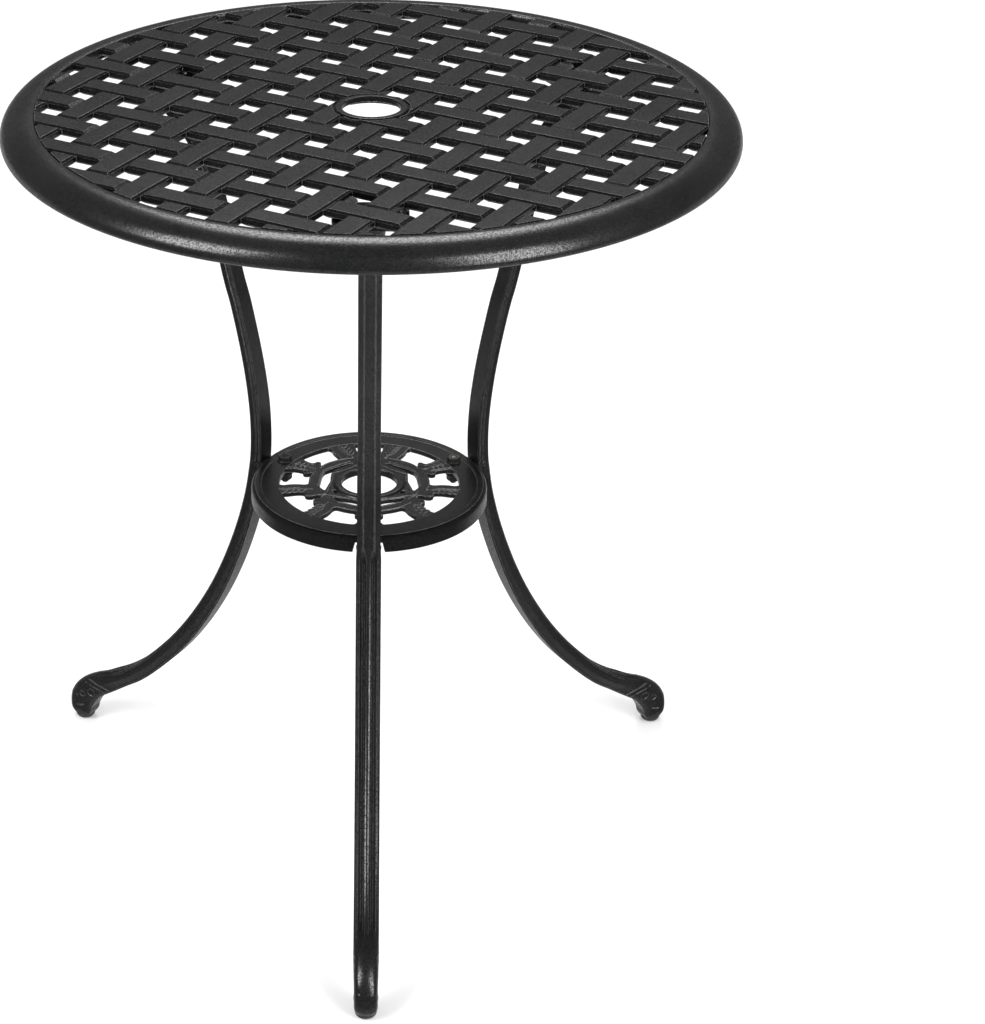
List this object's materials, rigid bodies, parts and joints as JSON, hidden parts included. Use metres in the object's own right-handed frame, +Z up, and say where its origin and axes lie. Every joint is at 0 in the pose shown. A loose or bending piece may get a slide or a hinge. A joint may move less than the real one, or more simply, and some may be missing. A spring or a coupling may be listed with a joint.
{
  "type": "umbrella side table",
  "caption": "Round low table of cast metal with a woven pierced top, a hole for an umbrella pole, S-curved legs, a small pierced shelf below and screw glides under the feet.",
  "frame": {"origin": "floor level, on the axis of the umbrella pole", "axes": "+Z up along the pole's axis, -Y towards the foot that faces the camera, +X to the right as seen by the camera"},
  "size_m": [0.6349, 0.6619, 0.7117],
  "materials": {
    "cast_black": "satin black powder coat on cast aluminium, fine orange-peel grain",
    "bolt_steel": "blackened stainless steel fasteners",
    "glide_nylon": "black moulded nylon"
  },
  "bodies": {
    "table": {"table_top": "cast_black", "shelf": "cast_black", "leg_front": "cast_black", "leg_right": "cast_black", "leg_left": "cast_black", "shelf_bolt_front": "bolt_steel", "shelf_bolt_right": "bolt_steel", "shelf_bolt_left": "bolt_steel", "shelf_washer_front": "bolt_steel", "shelf_washer_right": "bolt_steel", "shelf_washer_left": "bolt_steel", "shelf_nut_front": "bolt_steel", "shelf_nut_right": "bolt_steel", "shelf_nut_left": "bolt_steel", "top_bolts_front": "bolt_steel", "top_bolts_right": "bolt_steel", "top_bolts_left": "bolt_steel"},
    "glide_front": {"glide_pad_front": "glide_nylon", "glide_stud_front": "bolt_steel"},
    "glide_right": {"glide_pad_right": "glide_nylon", "glide_stud_right": "bolt_steel"},
    "glide_left": {"glide_pad_left": "glide_nylon", "glide_stud_left": "bolt_steel"}
  },
  "joints": [
    {"name": "glide_front_level", "type": "slide", "parent": "table", "child": "glide_front", "axis": [0, 0, -1], "range_m": [0, 0.008]},
    {"name": "glide_right_level", "type": "slide", "parent": "table", "child": "glide_right", "axis": [0, 0, -1], "range_m": [0, 0.008]},
    {"name": "glide_left_level", "type": "slide", "parent": "table", "child": "glide_left", "axis": [0, 0, -1], "range_m": [0, 0.008]}
  ]
}
